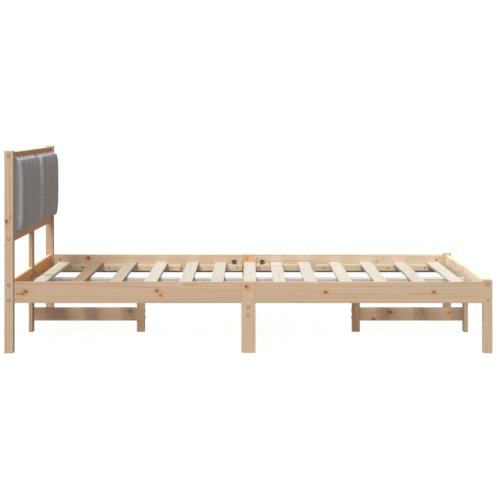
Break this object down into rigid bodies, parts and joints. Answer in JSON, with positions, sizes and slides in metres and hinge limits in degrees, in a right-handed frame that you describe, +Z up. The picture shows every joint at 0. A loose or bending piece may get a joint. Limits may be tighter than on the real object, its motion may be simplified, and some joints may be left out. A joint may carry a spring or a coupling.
{
  "type": "bed frame",
  "caption": "Low pine bed frame with a slatted base, a centre beam on braced legs, and a headboard of two rails that carries channelled grey fabric cushions.",
  "frame": {"origin": "bottom centre of the bounding box, on the floor under the middle of the bed", "axes": "+X along the bed towards the foot, +Y across the bed to the right as seen from the foot, +Z up"},
  "size_m": [2.055, 1.255, 0.852],
  "materials": {
    "pine": "sanded solid pine, matt, with knots and fine streaks",
    "slat_pine": "planed pale pine, untreated",
    "plywood": "raw thin plywood",
    "cushion_fabric": "woven grey upholstery fabric over foam, sewn in upright channels",
    "zinc_steel": "zinc-plated steel"
  },
  "bodies": {
    "root": {"head_post_left": "pine", "head_post_right": "pine", "foot_post_left": "pine", "foot_post_right": "pine", "headboard_top_rail": "pine", "headboard_lower_rail": "pine", "headboard_centre_post": "pine", "head_centre_leg": "pine", "head_end_rail_left": "pine", "head_end_rail_right": "pine", "foot_centre_leg": "pine", "foot_end_rail_left": "pine", "foot_end_rail_right": "pine", "side_leg_left": "pine", "side_leg_right": "pine", "side_rail_head_left": "pine", "side_rail_head_right": "pine", "side_rail_foot_left": "pine", "side_rail_foot_right": "pine", "ledger_head_left": "pine", "ledger_head_right": "pine", "ledger_foot_left": "pine", "ledger_foot_right": "pine", "inner_ledger_head_left": "pine", "inner_ledger_head_right": "pine", "inner_ledger_foot_left": "pine", "inner_ledger_foot_right": "pine", "centre_beam_head": "pine", "centre_beam_foot": "pine", "cross_beam": "pine", "mid_leg_head": "pine", "mid_leg_foot": "pine", "low_brace_head": "pine", "low_brace_foot": "pine", "dowels": "pine", "slat_01": "slat_pine", "slat_02": "slat_pine", "slat_03": "slat_pine", "slat_04": "slat_pine", "slat_05": "slat_pine", "slat_06": "slat_pine", "slat_07": "slat_pine", "slat_08": "slat_pine", "slat_09": "slat_pine", "slat_10": "slat_pine", "slat_11": "slat_pine", "slat_12": "slat_pine", "slat_13": "slat_pine", "cushion_board_left": "plywood", "cushion_board_right": "plywood", "cushion_left": "cushion_fabric", "cushion_right": "cushion_fabric", "post_bolts": "zinc_steel", "brace_bolts": "zinc_steel", "beam_bolts": "zinc_steel", "barrel_nuts": "zinc_steel", "leg_studs": "zinc_steel", "half_moon_nuts": "zinc_steel", "slat_screws": "zinc_steel", "ledger_screws": "zinc_steel", "board_screws": "zinc_steel"}
  },
  "joints": []
}
